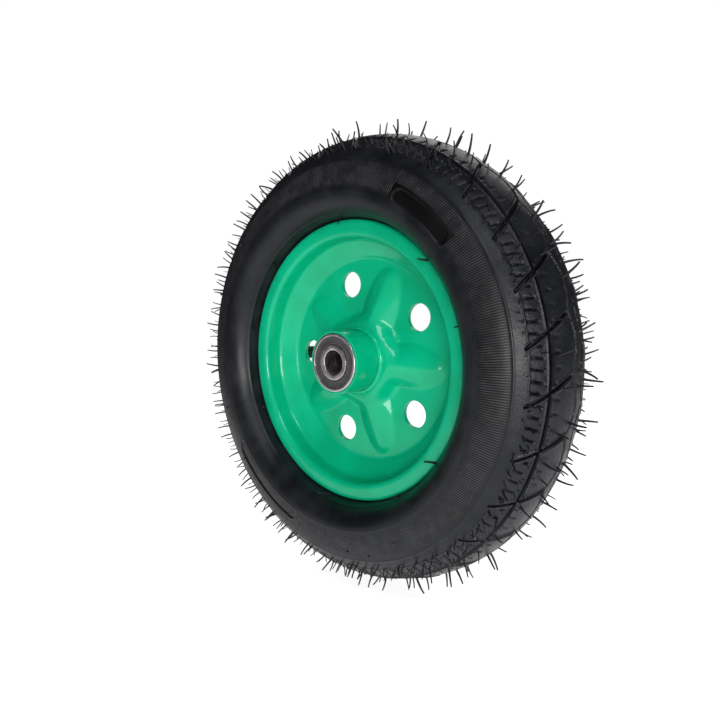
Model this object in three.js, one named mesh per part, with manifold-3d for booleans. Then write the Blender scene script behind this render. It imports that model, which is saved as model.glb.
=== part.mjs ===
// A pneumatic barrow wheel: a tubed tyre on a rim of two pressed steel halves,
// a welded hub tube and two sealed ball bearings.
// Millimetres. The origin is the wheel's centre, the wheel spins about +Y and +Z is up.
// The front of the wheel faces -Y, and the valve is on the rear side.

import * as THREE from "three";
import { mergeVertices } from "three/addons/utils/BufferGeometryUtils.js";
import Module from "manifold-3d";

const wasm = await Module();
wasm.setup();

// ---------- Tyre and tube ----------
const SECTION_HEIGHT = 79.9;
const TYRE_WIDTH = 96.4;
const TREAD_THICKNESS = 9;
const SIDEWALL_THICKNESS = 5.5;
const BEAD_WIDTH = 11.5;
const BEAD_HEIGHT = 14;
const TUBE_WALL = 2;

// ---------- Rim ----------
const BEAD_SEAT_DIAMETER = 203.2;
const FLANGE_HEIGHT = 12;
const RIM_WIDTH = 57;
const SHEET = 1.8;
const LIP_ROLL = 2.6;
const WELL_DEPTH = 3.4;
const WELL_SLOPE_RUN = 10.2;
const WELL_SLOPE_RISE = 6;
const DISC_EDGE_RUN = 2.4;
const DISC_EDGE_RISE = 2.6;
const WINDOW_COUNT = 5;
const WINDOW_DIAMETER = 22;
const WINDOW_MARGIN = 8.2;
const WINDOW_ANGLE = -12;

// ---------- Star pressing in each half ----------
const ARM_HEIGHT = 11.5;
const ARM_TIP_MARGIN = 2.7;
const ARM_WIDEST_AT = 0.29;
const ARM_HALF_WIDTH = 18.5;
const COLLAR_WIDTH = 4.5;
const COLLAR_SLOPE = 11;

// ---------- Hub and axle parts ----------
const HUB_LENGTH = 84;
const HUB_WALL = 1.8;
const HUB_TUBE_SETBACK = 0.8;
const SHOULDER_HEIGHT = 2.2;
const SPACER_WALL = 3.2;
const WELD_LEG = 3.2;

// ---------- Ball bearing, 20 x 47 x 14 ----------
const BEARING_BORE = 20;
const BEARING_DIAMETER = 47;
const BEARING_WIDTH = 14;
const BALL_COUNT = 8;
const BALL_DIAMETER = 7.938;
const TRACK_DEPTH = 1.4;
const SEAL_GROOVE_DEPTH = 1.8;
const SEAL_THICKNESS = 1.2;
const SEAL_SETBACK = 0.4;
const CAGE_THICKNESS = 1.7;
const CAGE_BRIDGE = 0.5;

// ---------- Valve ----------
const STEM_DIAMETER = 11.5;
const STEM_LENGTH = 33;
const STEM_FOOT_DIAMETER = 17;
const STEM_FOOT_THICKNESS = 1.6;
const THREAD_DIAMETER = 7.7;
const THREAD_LENGTH = 10;
const STEM_BORE = 5.4;
const CORE_LENGTH = 16;
const CORE_BORE = 2.6;
const CORE_SETBACK = 1;
const PIN_DIAMETER = 1.6;
const CAP_DIAMETER = 11;
const CAP_LENGTH = 13;
const CAP_WALL = 1.2;
const VALVE_ANGLE = 274;

// ---------- Clearances ----------
const FIT_GAP = 0.2;
const RUNNING_GAP = 0.3;
const BEAD_GAP = 0.4;

// ---------- Facets ----------
const RIM_FACETS = 50;
const TYRE_FACETS = 48;
const HUB_FACETS = 24;
const WINDOW_FACETS = 16;
const VALVE_FACETS = 12;
const DISC_STEPS = 4;
const OUTER_WALL_STEPS = 4;
const INNER_WALL_STEPS = 2;

// ---------- Worked-out places ----------
// "out" is the distance from the wheel's centre plane, towards either side.
const seatRadius = BEAD_SEAT_DIAMETER / 2;
const crownRadius = seatRadius + SECTION_HEIGHT;
const sectionRadius = TYRE_WIDTH / 2;
const sectionCentre = crownRadius - sectionRadius;
const flangeRadius = seatRadius + FLANGE_HEIGHT;
const flangeMid = RIM_WIDTH / 2 - SHEET / 2;
const discMid = FIT_GAP / 2 + SHEET / 2;
const wellFoot = {
  r: seatRadius - SHEET / 2 - WELL_DEPTH - WELL_SLOPE_RUN,
  out: discMid + DISC_EDGE_RISE,
};
const wellTop = { r: wellFoot.r + WELL_SLOPE_RUN, out: wellFoot.out + WELL_SLOPE_RISE };
const discRadius = wellFoot.r - DISC_EDGE_RUN;
const armTipRadius = discRadius - ARM_TIP_MARGIN;
const bearingInnerFace = HUB_LENGTH / 2 - BEARING_WIDTH;
const bearingMiddle = HUB_LENGTH / 2 - BEARING_WIDTH / 2;
const bearingSeatRadius = BEARING_DIAMETER / 2 + FIT_GAP;
const hubRadius = bearingSeatRadius + HUB_WALL;
const collarRadius = hubRadius + COLLAR_WIDTH;
const pitchRadius = (BEARING_BORE + BEARING_DIAMETER) / 4;
const ballRadius = BALL_DIAMETER / 2;
const innerLandRadius = pitchRadius - ballRadius + TRACK_DEPTH;
const outerLandRadius = pitchRadius + ballRadius - TRACK_DEPTH;
const sealGrooveRadius = outerLandRadius + SEAL_GROOVE_DEPTH;

const materials = {
  tyre: new THREE.MeshStandardMaterial({ color: "#1b1c1f", roughness: 0.75, metalness: 0 }),
  tube: new THREE.MeshStandardMaterial({ color: "#111112", roughness: 0.6, metalness: 0 }),
  paint: new THREE.MeshStandardMaterial({ color: "#12b583", roughness: 0.25, metalness: 0.1 }),
  steel: new THREE.MeshStandardMaterial({ color: "#c9c3c2", roughness: 0.25, metalness: 0.9 }),
  zinc: new THREE.MeshStandardMaterial({ color: "#9a9c9c", roughness: 0.4, metalness: 0.8 }),
  seal: new THREE.MeshStandardMaterial({ color: "#4a4a4e", roughness: 0.6, metalness: 0 }),
  brass: new THREE.MeshStandardMaterial({ color: "#b08d4a", roughness: 0.35, metalness: 0.9 }),
  cap: new THREE.MeshStandardMaterial({ color: "#17181a", roughness: 0.5, metalness: 0 }),
};

const radians = THREE.MathUtils.degToRad;

// The outside radius of a faceted bore whose flats lie at the true radius.
function acrossFlats(radius, facets) {
  return radius / Math.cos(Math.PI / facets);
}

// A ring or disc turned about Y from a closed outline of {r, y} points. Angles run from +Z to +X.
function turned(outline, facets, startAngle = 0) {
  const area = outline.reduce((sum, p, i) => {
    const next = outline[(i + 1) % outline.length];
    return sum + p.r * next.y - next.r * p.y;
  }, 0);
  const ordered = area > 0 ? outline : [...outline].reverse();
  const points = ordered.map((p) => new THREE.Vector2(p.r, p.y));
  points.push(points[0].clone());
  return closed(new THREE.LatheGeometry(points, facets, radians(startAngle)));
}

// One closed surface with shared vertices and position only.
function closed(geometry) {
  geometry.deleteAttribute("normal");
  geometry.deleteAttribute("uv");
  return mergeVertices(geometry, 1e-4);
}

function toSolid(geometry) {
  const mesh = new wasm.Mesh({
    numProp: 3,
    vertProperties: new Float32Array(geometry.attributes.position.array),
    triVerts: new Uint32Array(geometry.index.array),
  });
  return new wasm.Manifold(mesh);
}

function toGeometry(solid) {
  const mesh = solid.getMesh();
  const geometry = new THREE.BufferGeometry();
  geometry.setAttribute("position", new THREE.BufferAttribute(new Float32Array(mesh.vertProperties), 3));
  geometry.setIndex(new THREE.BufferAttribute(new Uint32Array(mesh.triVerts), 1));
  return geometry;
}

// Takes each cutter away from a geometry.
function cut(geometry, cutters) {
  const solid = cutters.reduce((rest, cutter) => rest.subtract(toSolid(cutter)), toSolid(geometry));
  return toGeometry(solid);
}

// Shifts a centre line sideways by a distance, keeping each straight run parallel.
function shifted(line, distance) {
  return line.map((p, i) => {
    const before = line[Math.max(i - 1, 0)];
    const after = line[Math.min(i + 1, line.length - 1)];
    const a = normalOf(before, p) ?? normalOf(p, after);
    const b = normalOf(p, after) ?? a;
    const scale = distance / (1 + a.r * b.r + a.out * b.out);
    return { r: p.r + (a.r + b.r) * scale, out: p.out + (a.out + b.out) * scale };
  });
}

function normalOf(p, q) {
  const length = Math.hypot(q.r - p.r, q.out - p.out);
  return length === 0 ? null : { r: (p.out - q.out) / length, out: (q.r - p.r) / length };
}

// ---------- Rim halves ----------

// How far the star pressing stands above the flat disc at a radius and an angle in degrees.
function starHeight(r, degrees) {
  const pitch = 360 / WINDOW_COUNT;
  const firstArm = WINDOW_ANGLE + pitch / 2;
  const turns = (degrees - firstArm) / pitch;
  const offArm = Math.abs(turns - Math.round(turns)) * pitch;
  const across = r * radians(offArm);
  const widest = THREE.MathUtils.lerp(collarRadius, armTipRadius, ARM_WIDEST_AT);
  const along = (r - widest) / (armTipRadius - widest);
  const halfWidth = ARM_HALF_WIDTH * Math.sqrt(Math.max(1 - along * along, 0));
  const crest = THREE.MathUtils.clamp((armTipRadius - r) / (armTipRadius - collarRadius), 0, 1);
  const inside = halfWidth > 0 ? Math.max(1 - across / halfWidth, 0) : 0;
  const arm = crest * inside * (1.5 - 0.5 * inside);
  const boss = 1 - THREE.MathUtils.smoothstep(r, collarRadius, collarRadius + COLLAR_SLOPE);
  return ARM_HEIGHT * (1 - (1 - boss) * (1 - Math.min(arm, 1)));
}

// The middle of the sheet from the hub hole to the rolled lip, before the star is pressed in.
function rimLine() {
  const holeRadius = hubRadius + FIT_GAP;
  const disc = [{ r: holeRadius, out: discMid }];
  for (let i = 0; i <= DISC_STEPS; i++) {
    disc.push({ r: THREE.MathUtils.lerp(collarRadius, armTipRadius, i / DISC_STEPS), out: discMid });
  }
  const seat = seatRadius - SHEET / 2;
  const roll = flangeRadius - SHEET / 2;
  return [
    ...disc,
    { r: discRadius, out: discMid + 0.6 },
    wellFoot,
    wellTop,
    { r: seat, out: wellTop.out + WELL_DEPTH * 0.9 },
    { r: seat, out: flangeMid - 2.6 },
    { r: seat + 2.6, out: flangeMid - 0.3 },
    { r: roll - LIP_ROLL, out: flangeMid },
    { r: roll, out: flangeMid - LIP_ROLL },
  ];
}

// side is -1 for the front half and 1 for the rear half.
function rimHalf(side) {
  const line = rimLine();
  const outline = [...shifted(line, SHEET / 2), ...shifted(line, -SHEET / 2).reverse()];
  const geometry = turned(outline.map((p) => ({ r: p.r, y: side * p.out })), RIM_FACETS, WINDOW_ANGLE);
  const position = geometry.attributes.position;
  for (let i = 0; i < position.count; i++) {
    const x = position.getX(i);
    const z = position.getZ(i);
    const height = starHeight(Math.hypot(x, z), THREE.MathUtils.radToDeg(Math.atan2(x, z)));
    position.setY(i, position.getY(i) + side * height);
  }
  return cut(geometry, windowCutters());
}

function windowCutters() {
  return Array.from({ length: WINDOW_COUNT }, (_, i) => {
    const angle = radians(WINDOW_ANGLE + (i * 360) / WINDOW_COUNT);
    const cutter = new THREE.CylinderGeometry(
      WINDOW_DIAMETER / 2, WINDOW_DIAMETER / 2, RIM_WIDTH, WINDOW_FACETS);
    const reach = discRadius - WINDOW_MARGIN - WINDOW_DIAMETER / 2;
    cutter.translate(reach * Math.sin(angle), 0, reach * Math.cos(angle));
    return closed(cutter);
  });
}

// ---------- Tyre and inner tube ----------

// Half of a tyre wall's line from the crown to above the bead: an arch over a tucked-in lower wall.
function wallLine(halfWidth, topRadius, foot, steps) {
  const arch = [];
  for (let i = 0; i <= steps; i++) {
    const angle = radians(90 - (90 * i) / steps);
    const rise = (topRadius - sectionCentre) * Math.sin(angle);
    arch.push({ r: sectionCentre + rise, y: halfWidth * Math.cos(angle) });
  }
  for (let i = 1; i <= steps; i++) {
    const angle = radians((90 * i) / steps);
    arch.push({
      r: sectionCentre - (sectionCentre - foot.r) * Math.sin(angle),
      y: foot.y + (halfWidth - foot.y) * Math.cos(angle),
    });
  }
  return arch;
}

function mirrored(half) {
  return half.slice(1).map((p) => ({ r: p.r, y: -p.y })).reverse();
}

const beadOuter = flangeMid - LIP_ROLL - SHEET / 2 - BEAD_GAP;
const beadInner = beadOuter - BEAD_WIDTH;
const beadFoot = seatRadius + BEAD_GAP;
const beadTop = flangeRadius + 2 * BEAD_GAP;

function tyre() {
  const outside = wallLine(
    sectionRadius,
    crownRadius,
    { r: beadTop, y: beadOuter },
    OUTER_WALL_STEPS);
  outside.push({ r: beadFoot, y: beadOuter });
  const inside = wallLine(
    sectionRadius - SIDEWALL_THICKNESS,
    crownRadius - TREAD_THICKNESS,
    { r: beadFoot + BEAD_HEIGHT, y: beadInner + 2 },
    INNER_WALL_STEPS);
  inside.push({ r: beadFoot, y: beadInner });
  const section = [...mirrored(outside), ...outside, ...[...mirrored(inside), ...inside].reverse()];
  return turned(section, TYRE_FACETS);
}

// The tube's wall line: it fills the tyre and drops between the beads into the rim's well.
function tubeLine(inset) {
  const wall = wallLine(
    sectionRadius - SIDEWALL_THICKNESS - inset,
    crownRadius - TREAD_THICKNESS - inset,
    { r: beadFoot + BEAD_HEIGHT + inset, y: beadInner - inset },
    INNER_WALL_STEPS);
  wall.push({ r: wellTop.r + SHEET + inset, y: wellTop.out - SHEET - inset });
  return [...mirrored(wall), ...wall];
}

// ---------- Valve frame: the stem stands square on the sloping wall of the rear half ----------
const valveAxis = new THREE.Vector3(0, WELL_SLOPE_RUN, -WELL_SLOPE_RISE).normalize();
const valveRoot = new THREE.Vector3(
  0, (wellTop.out + wellFoot.out) / 2, (wellTop.r + wellFoot.r) / 2);

// Places geometry that stands along +Y from the origin on the rim wall, at the valve's angle.
function onValve(geometry) {
  const tilt = new THREE.Quaternion().setFromUnitVectors(new THREE.Vector3(0, 1, 0), valveAxis);
  geometry.applyQuaternion(tilt);
  geometry.translate(valveRoot.x, valveRoot.y, valveRoot.z);
  geometry.rotateY(radians(VALVE_ANGLE));
  return geometry;
}

const stemFootTop = -SHEET / 2 - FIT_GAP;
const stemFootBase = stemFootTop - STEM_FOOT_THICKNESS;
const threadStart = STEM_LENGTH - THREAD_LENGTH;

function boreCutter(diameter) {
  const long = 2 * STEM_LENGTH;
  const cutter = new THREE.CylinderGeometry(diameter / 2, diameter / 2, long, VALVE_FACETS);
  return onValve(closed(cutter));
}

function innerTube() {
  const outside = turned(tubeLine(RUNNING_GAP), TYRE_FACETS);
  const inside = turned(tubeLine(RUNNING_GAP + TUBE_WALL), TYRE_FACETS);
  const foot = new THREE.CylinderGeometry(
    STEM_FOOT_DIAMETER / 2 + RUNNING_GAP,
    STEM_FOOT_DIAMETER / 2 + RUNNING_GAP,
    STEM_LENGTH,
    VALVE_FACETS);
  foot.translate(0, stemFootBase - RUNNING_GAP + STEM_LENGTH / 2, 0);
  return cut(outside, [inside, onValve(closed(foot)), boreCutter(STEM_BORE)]);
}

function valveStem() {
  return onValve(turned([
    { r: STEM_BORE / 2, y: stemFootBase },
    { r: STEM_FOOT_DIAMETER / 2, y: stemFootBase },
    { r: STEM_DIAMETER / 2, y: stemFootTop },
    { r: STEM_DIAMETER / 2, y: threadStart - 3 },
    { r: THREAD_DIAMETER / 2, y: threadStart },
    { r: THREAD_DIAMETER / 2, y: STEM_LENGTH },
    { r: STEM_BORE / 2, y: STEM_LENGTH },
  ], VALVE_FACETS));
}

const coreTop = STEM_LENGTH - CORE_SETBACK;

function valveCore() {
  const outside = STEM_BORE / 2 - FIT_GAP;
  return onValve(turned([
    { r: CORE_BORE / 2, y: coreTop - CORE_LENGTH },
    { r: outside, y: coreTop - CORE_LENGTH },
    { r: outside, y: coreTop },
    { r: CORE_BORE / 2, y: coreTop },
  ], VALVE_FACETS));
}

function valvePin() {
  return onValve(turned([
    { r: 0, y: coreTop - CORE_LENGTH + 2 },
    { r: PIN_DIAMETER / 2, y: coreTop - CORE_LENGTH + 2 },
    { r: PIN_DIAMETER / 2, y: coreTop + CORE_SETBACK / 2 },
    { r: 0, y: coreTop + CORE_SETBACK / 2 },
  ], VALVE_FACETS));
}

function valveCap() {
  const top = STEM_LENGTH + RUNNING_GAP + CAP_WALL;
  const base = top - CAP_LENGTH;
  const inside = THREAD_DIAMETER / 2 + RUNNING_GAP;
  const mouth = Math.max(base, threadStart + RUNNING_GAP);
  return onValve(turned([
    { r: 0, y: top },
    { r: CAP_DIAMETER / 2 - 1, y: top },
    { r: CAP_DIAMETER / 2, y: top - 1 },
    { r: CAP_DIAMETER / 2, y: mouth },
    { r: inside, y: mouth },
    { r: inside, y: top - CAP_WALL },
    { r: 0, y: top - CAP_WALL },
  ], VALVE_FACETS));
}

// ---------- Hub ----------

function hubTube() {
  const end = HUB_LENGTH / 2 - HUB_TUBE_SETBACK;
  const seat = acrossFlats(bearingSeatRadius, HUB_FACETS);
  const land = bearingSeatRadius - SHOULDER_HEIGHT;
  const shoulder = bearingInnerFace - RUNNING_GAP;
  return turned([
    { r: hubRadius, y: -end },
    { r: hubRadius, y: end },
    { r: seat, y: end },
    { r: seat, y: shoulder },
    { r: land, y: shoulder },
    { r: land, y: -shoulder },
    { r: seat, y: -shoulder },
    { r: seat, y: -end },
  ], HUB_FACETS);
}

function axleSpacer() {
  const bore = acrossFlats(BEARING_BORE / 2 + RUNNING_GAP, HUB_FACETS);
  const end = bearingInnerFace - RUNNING_GAP;
  return turned([
    { r: bore, y: -end },
    { r: bore + SPACER_WALL, y: -end },
    { r: bore + SPACER_WALL, y: end },
    { r: bore, y: end },
  ], HUB_FACETS);
}

// A rounded fillet of weld between the hub tube and the collar of one rim half.
function hubWeld(side) {
  const inside = acrossFlats(hubRadius + FIT_GAP, HUB_FACETS);
  const foot = discMid + SHEET / 2 + ARM_HEIGHT + FIT_GAP;
  const outline = [
    { r: inside, y: foot },
    { r: inside + WELD_LEG, y: foot },
    { r: inside + WELD_LEG * 0.8, y: foot + WELD_LEG * 0.55 },
    { r: inside + WELD_LEG * 0.35, y: foot + WELD_LEG * 0.9 },
    { r: inside, y: foot + WELD_LEG },
  ];
  return turned(outline.map((p) => ({ r: p.r, y: side * p.y })), HUB_FACETS);
}

// ---------- Ball bearings ----------

const halfWidth = BEARING_WIDTH / 2;
const sealOuterFace = halfWidth - SEAL_SETBACK;
const sealInnerFace = sealOuterFace - SEAL_THICKNESS;

// The ball track in a race, as an arc about the ball's centre. towards is -1 inwards and 1 outwards.
function track(towards) {
  const radius = ballRadius + RUNNING_GAP;
  return [-48, -24, 0, 24, 48].map((degrees) => ({
    r: pitchRadius + towards * radius * Math.cos(radians(degrees)),
    y: radius * Math.sin(radians(degrees)),
  }));
}

function outerRace() {
  const groove = acrossFlats(sealGrooveRadius, HUB_FACETS);
  const step = sealInnerFace - FIT_GAP;
  return turned([
    { r: BEARING_DIAMETER / 2, y: halfWidth },
    { r: BEARING_DIAMETER / 2, y: -halfWidth },
    { r: groove, y: -halfWidth },
    { r: groove, y: -step },
    { r: outerLandRadius, y: -step },
    ...track(1),
    { r: outerLandRadius, y: step },
    { r: groove, y: step },
    { r: groove, y: halfWidth },
  ], HUB_FACETS);
}

function innerRace() {
  const bore = acrossFlats(BEARING_BORE / 2, HUB_FACETS);
  return turned([
    { r: bore, y: -halfWidth },
    { r: innerLandRadius, y: -halfWidth },
    ...track(-1),
    { r: innerLandRadius, y: halfWidth },
    { r: bore, y: halfWidth },
  ], HUB_FACETS);
}

function seal(side) {
  const inside = acrossFlats(innerLandRadius + RUNNING_GAP, HUB_FACETS);
  const outside = sealGrooveRadius - FIT_GAP;
  return turned([
    { r: inside, y: side * sealInnerFace },
    { r: outside, y: side * sealInnerFace },
    { r: outside, y: side * sealOuterFace },
    { r: inside, y: side * sealOuterFace },
  ], HUB_FACETS);
}

function ballPlaces() {
  return Array.from({ length: BALL_COUNT }, (_, i) => {
    const angle = (i * 2 * Math.PI) / BALL_COUNT;
    return new THREE.Vector3(pitchRadius * Math.sin(angle), 0, pitchRadius * Math.cos(angle));
  });
}

function cage() {
  const pocket = ballRadius + RUNNING_GAP;
  const half = pocket + CAGE_BRIDGE;
  const ring = turned([
    { r: pitchRadius - CAGE_THICKNESS / 2, y: -half },
    { r: pitchRadius + CAGE_THICKNESS / 2, y: -half },
    { r: pitchRadius + CAGE_THICKNESS / 2, y: half },
    { r: pitchRadius - CAGE_THICKNESS / 2, y: half },
  ], HUB_FACETS);
  return cut(ring, ballPlaces().map((place) => {
    const cutter = closed(new THREE.IcosahedronGeometry(pocket, 1));
    cutter.translate(place.x, place.y, place.z);
    return cutter;
  }));
}

// ---------- Assembly ----------

function named(name, geometry, material) {
  const mesh = new THREE.Mesh(geometry, material);
  mesh.name = name;
  return mesh;
}

function bearing(prefix, side) {
  const group = new THREE.Group();
  group.position.y = side * bearingMiddle;
  group.add(named(`${prefix}_bearing_outer_race`, outerRace(), materials.steel));
  group.add(named(`${prefix}_bearing_inner_race`, innerRace(), materials.steel));
  group.add(named(`${prefix}_bearing_outer_seal`, seal(side), materials.seal));
  group.add(named(`${prefix}_bearing_inner_seal`, seal(-side), materials.seal));
  group.add(named(`${prefix}_bearing_cage`, cage(), materials.zinc));
  ballPlaces().forEach((place, i) => {
    const ball = named(`${prefix}_bearing_ball_${i + 1}`,
      closed(new THREE.IcosahedronGeometry(ballRadius, 1)), materials.steel);
    ball.position.copy(place);
    group.add(ball);
  });
  return group;
}

const wheel = new THREE.Group();
wheel.add(named("tyre", tyre(), materials.tyre));
wheel.add(named("inner_tube", innerTube(), materials.tube));
wheel.add(named("rim_front_half", rimHalf(-1), materials.paint));
wheel.add(named("rim_rear_half", cut(rimHalf(1), [boreCutter(STEM_DIAMETER + 2 * RUNNING_GAP)]), materials.paint));
wheel.add(named("hub_tube", hubTube(), materials.paint));
wheel.add(named("front_hub_weld", hubWeld(-1), materials.paint));
wheel.add(named("rear_hub_weld", hubWeld(1), materials.paint));
wheel.add(named("axle_spacer", axleSpacer(), materials.zinc));
wheel.add(bearing("front", -1));
wheel.add(bearing("rear", 1));
wheel.add(named("valve_stem", valveStem(), materials.tube));
wheel.add(named("valve_core", valveCore(), materials.brass));
wheel.add(named("valve_pin", valvePin(), materials.brass));
wheel.add(named("valve_cap", valveCap(), materials.cap));

export default wheel;
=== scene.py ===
"""A barrow wheel: a tubed tyre, a green rim of two pressed halves, a welded hub and two bearings.

Metres, +Z up. The wheel spins about Y and its front faces -Y. "Out" is the distance from the wheel's
centre plane towards either side. A turn is an angle round the wheel, from +Z towards +X. A section angle
goes round the tyre's skin: 0 at the crown, 90 at the widest place and 180 just above the bead.
"""

import math

import bmesh
import bpy
import numpy as np
from mathutils import Matrix, Quaternion, Vector


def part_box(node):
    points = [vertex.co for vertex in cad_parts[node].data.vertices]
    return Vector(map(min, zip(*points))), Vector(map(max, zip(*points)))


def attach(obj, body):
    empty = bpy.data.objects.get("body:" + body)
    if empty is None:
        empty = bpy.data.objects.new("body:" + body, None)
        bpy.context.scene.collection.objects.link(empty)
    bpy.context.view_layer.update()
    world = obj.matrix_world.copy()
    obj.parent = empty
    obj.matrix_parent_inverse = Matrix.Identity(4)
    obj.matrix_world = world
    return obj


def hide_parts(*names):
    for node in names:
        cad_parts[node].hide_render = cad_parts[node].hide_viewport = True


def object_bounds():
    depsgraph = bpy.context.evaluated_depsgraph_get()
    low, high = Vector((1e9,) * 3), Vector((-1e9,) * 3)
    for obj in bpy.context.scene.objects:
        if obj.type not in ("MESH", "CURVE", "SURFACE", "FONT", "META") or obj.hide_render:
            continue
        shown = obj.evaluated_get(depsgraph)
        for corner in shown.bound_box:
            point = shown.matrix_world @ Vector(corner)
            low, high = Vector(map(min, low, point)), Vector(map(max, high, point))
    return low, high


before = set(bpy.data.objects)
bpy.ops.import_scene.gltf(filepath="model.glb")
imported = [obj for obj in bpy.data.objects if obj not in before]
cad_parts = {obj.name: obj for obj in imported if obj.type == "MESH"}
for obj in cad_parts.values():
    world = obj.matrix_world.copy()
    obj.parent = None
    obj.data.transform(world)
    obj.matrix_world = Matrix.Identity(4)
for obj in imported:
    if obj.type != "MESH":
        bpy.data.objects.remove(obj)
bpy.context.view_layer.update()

MM = 0.001
FRONT = -1
REAR = 1
SIDES = ((FRONT, "front"), (REAR, "rear"))

# ---------- Tyre ----------
CROWN_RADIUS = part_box("tyre")[1].z
SECTION_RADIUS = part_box("tyre")[1].y
SECTION_CENTRE = CROWN_RADIUS - SECTION_RADIUS
BEAD_TOP_RADIUS = 114.4 * MM
BEAD_OUT = 23.7 * MM
BEAD_FOOT_RADIUS = 102 * MM
BEAD_INSIDE_OUT = 12.2 * MM
BEAD_HEIGHT = 14 * MM
TREAD_THICKNESS = 9 * MM
SIDEWALL_THICKNESS = 5.5 * MM

# ---------- Tread pattern: section angles and turns in degrees ----------
PITCH_COUNT = 28
PITCH = 360 / PITCH_COUNT
FIRST_CUSP = 2.94
CUSP_ANGLE = 10
SCALLOP_ANGLE = 3.3
LATERAL_LEAN = 0.169
RING_GROOVE_ANGLE = 31.7
TREAD_EDGE_ANGLE = 52
GROOVE_DEPTH = 2.2 * MM
GROOVE_WIDTH = 1.7 * MM
GROOVE_EDGE = 0.7 * MM
LIP_HEIGHT = 0.6 * MM
LIP_WIDTH = 0.5 * MM
LIP_OFFSET = 1.9 * MM
LIP_ENDS_AT_DEPTH = 0.3 * MM
RING_GROOVE_SHARE = 0.9
SCALLOP_GROOVE_SHARE = 0.8
SIPE_DEPTH = 1.4 * MM
SIPE_WIDTH = 1.3 * MM
SIPE_EDGE = 0.3 * MM
SIPE_TILT = 0.04
SIPE_SLANT = 3 * SIPE_TILT
SIPE_CLEAR = 2.6 * MM
SIPE_CLEAR_FADE = 1 * MM
SHOULDER_SIPES = 5
SHOULDER_SIPE_ANGLE = 42.3
SHOULDER_SIPE_REACH = 5.2
CROWN_SIPES = 4
CROWN_SIPE_ANGLE = 25.2
CROWN_SIPE_REACH = 3.2
CROWN_SIPE_SHARE = 0.7
EDGE_LIP_ANGLE = TREAD_EDGE_ANGLE - 3.2
EDGE_LIP_SPREAD = 0.6
TREAD_FADE_START = TREAD_EDGE_ANGLE - 2.2
TREAD_FADE_END = TREAD_EDGE_ANGLE - 0.6
POINT_CROWDING = 0.45
INSIDE_ROWS = 6
CROWN_ROWS = 64
CROWN_COLUMNS = 44
SHOULDER_ROWS = 30
SHOULDER_COLUMNS = 60

# ---------- Sidewall ----------
RIDGE_ANGLE = 60
RIDGE_HEIGHT = 0.55 * MM
RIDGE_SPREAD = 0.8 * MM
INNER_LINE_ANGLE = 93
INNER_LINE_HEIGHT = 0.15 * MM
INNER_LINE_SPREAD = 0.9
RIB_COUNT = 560
RIB_START_ANGLE = 61.5
RIB_END_ANGLE = 87
RIB_HALF_WIDTH = 0.5 * MM
PANEL_TURNS = ((43, 12), (219, 19))
PANEL_ANGLE = 82.5
PANEL_RADIUS = SECTION_CENTRE + 6 * MM
PANEL_HALF_HEIGHT = 5.6 * MM
PANEL_DEPTH = 0.9 * MM
PANEL_FRAME = 0.35 * MM
PANEL_EDGE = 0.6 * MM
PANEL_GAP = 0.8
BEAD_LINE_ANGLE = 152
BEAD_LINE_HEIGHT = 0.5 * MM
BEAD_LINE_SPREAD = 2.2
WALL_COLUMNS = 760
UPPER_WALL_ROWS = 62
UPPER_WALL_END = 100
LOWER_WALL_ROWS = 34
LOWER_WALL_START = 101.5
LINING_ROWS = 12
LINING_END_ANGLE = 165
LINING_THIN_ANGLE = 80
LINING_BEND = 60
LINING_BEND_OUT = 12 * MM
# Painted shade: how far the skin between the ribs and in the sunk panels is darkened.
BETWEEN_RIBS_PAINTED_SHADE = 0.8
PANEL_PAINTED_SHADE = 0.6
BEAD_WHISKER_REACH = 32.9 * MM

# ---------- Whiskers: each is drawn 1 long, standing along +Z, and then scaled ----------
HAIR_ROOT = (0, 0, -0.06)
HAIR_BEND = (0.02, 0, 0.55)
HAIR_TIP = (0.22, 0, 1)
HAIR_ROOT_SHARE = 1.1
HAIR_TAPER = 0.45
HAIR_THICKNESS = 0.074
STUB_THICKNESS = 0.42

# ---------- Rim ----------
SHEET = 1.8 * MM
DISC_OUT = 1 * MM
HUB_HOLE_RADIUS = 25.7 * MM
DISC_RADIUS = 84.4 * MM
STEP_RADIUS = 87.1 * MM
STEP_OUT = 3.6 * MM
DISH_RADIUS = 97.3 * MM
DISH_OUT = 9.6 * MM
SEAT_RADIUS = 100.7 * MM
SEAT_OUT = 12.7 * MM
FLANGE_RADIUS = 112.7 * MM
FLANGE_OUT = 27.6 * MM
FLANGE_END_OUT = 25 * MM
RIM_ROW_SPACING = 1.7 * MM
RIM_COLUMNS = 300
HOLE_COLUMNS = 64
CUTTER_LENGTH = 40 * MM
COLLAR_RADIUS = 30 * MM
ARM_TIP_RADIUS = 82 * MM
ARM_HEIGHT = 12.5 * MM
ARM_HALF_WIDTH = 18.5 * MM
ARM_WIDEST_AT = 0.29
ARM_TIP_SHARE = 0.17
ARM_TIP_HEIGHT = 0.22
COLLAR_SLOPE = 11 * MM
CREST_ROUNDING = 1.2 * MM
WINDOW_COUNT = 5
WINDOW_TURN = -12
WINDOW_REACH = 65.5 * MM
WINDOW_RADIUS = 11 * MM

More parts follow.
